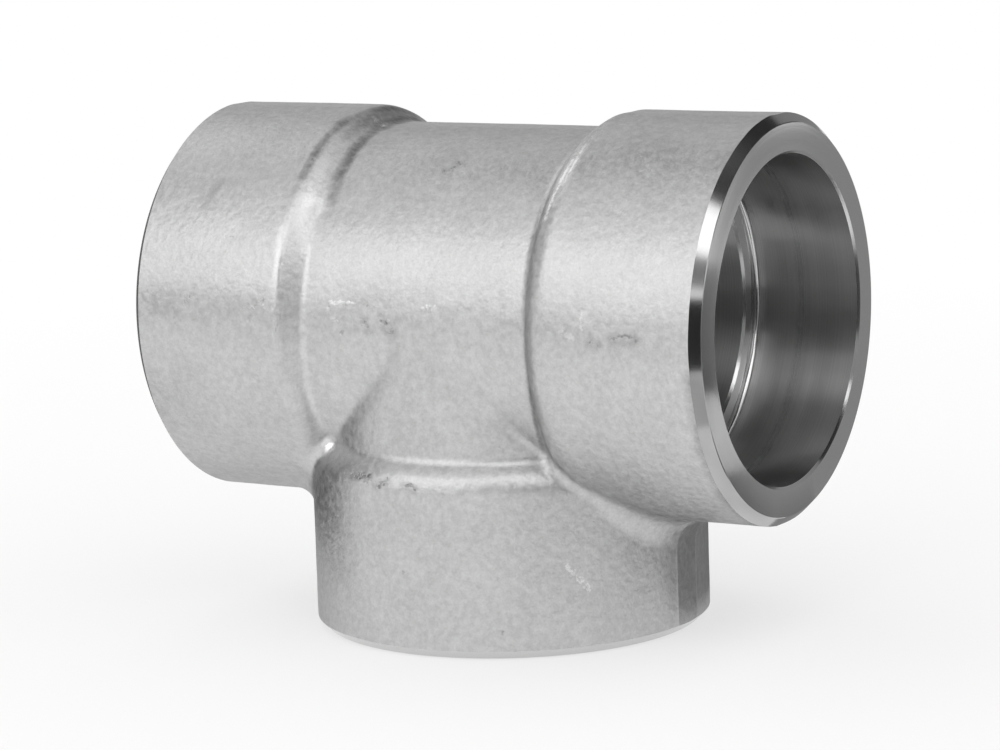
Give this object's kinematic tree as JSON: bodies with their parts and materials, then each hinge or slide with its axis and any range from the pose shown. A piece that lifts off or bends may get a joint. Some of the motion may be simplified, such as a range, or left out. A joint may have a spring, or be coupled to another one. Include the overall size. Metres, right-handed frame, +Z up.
{
  "type": "socket weld tee",
  "caption": "Forged steel pipe tee with equal thick collars on run and branch, each machined with a blind socket for a welded pipe.",
  "frame": {"origin": "centre of the branch end face, on which the tee stands; the run's axis is 60.5 mm above it", "axes": "+X along the run, +Z up the branch's axis from its end face to the run, +Y square to both"},
  "size_m": [0.121, 0.0762, 0.0986],
  "materials": {
    "forged_steel": "matt blasted forging skin, turned end faces and sockets"
  },
  "bodies": {
    "root": {"tee_body": "forged_steel"}
  },
  "joints": []
}
